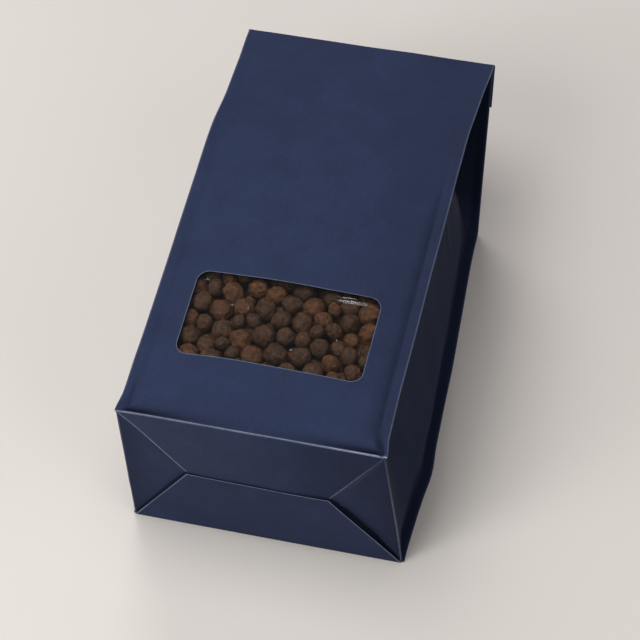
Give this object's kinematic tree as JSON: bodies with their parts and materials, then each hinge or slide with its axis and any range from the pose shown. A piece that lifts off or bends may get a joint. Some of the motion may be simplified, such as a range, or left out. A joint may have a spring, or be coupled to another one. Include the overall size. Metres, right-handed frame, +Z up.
{
  "type": "flat bottom pet food bag",
  "caption": "Filled flat bottom paper bag for dry pet food, with side gussets, sealed edge fins, a folded top and a clear window, lying on its back.",
  "frame": {"origin": "on the floor under the middle of the bag's length and width, as it lies on its back", "axes": "+X across the bag, +Y from the flat base to the folded top, +Z up, out of the front panel"},
  "size_m": [0.1666, 0.2822, 0.1259],
  "materials": {
    "navy_paper": "matt laminated paper, dark navy",
    "clear_film": "clear polypropylene film, slightly hazy",
    "kibble": "baked dry kibble, rough, brown"
  },
  "bodies": {
    "root": {"bag": "navy_paper", "window_film": "clear_film", "kibble_fill": "kibble"}
  },
  "joints": []
}
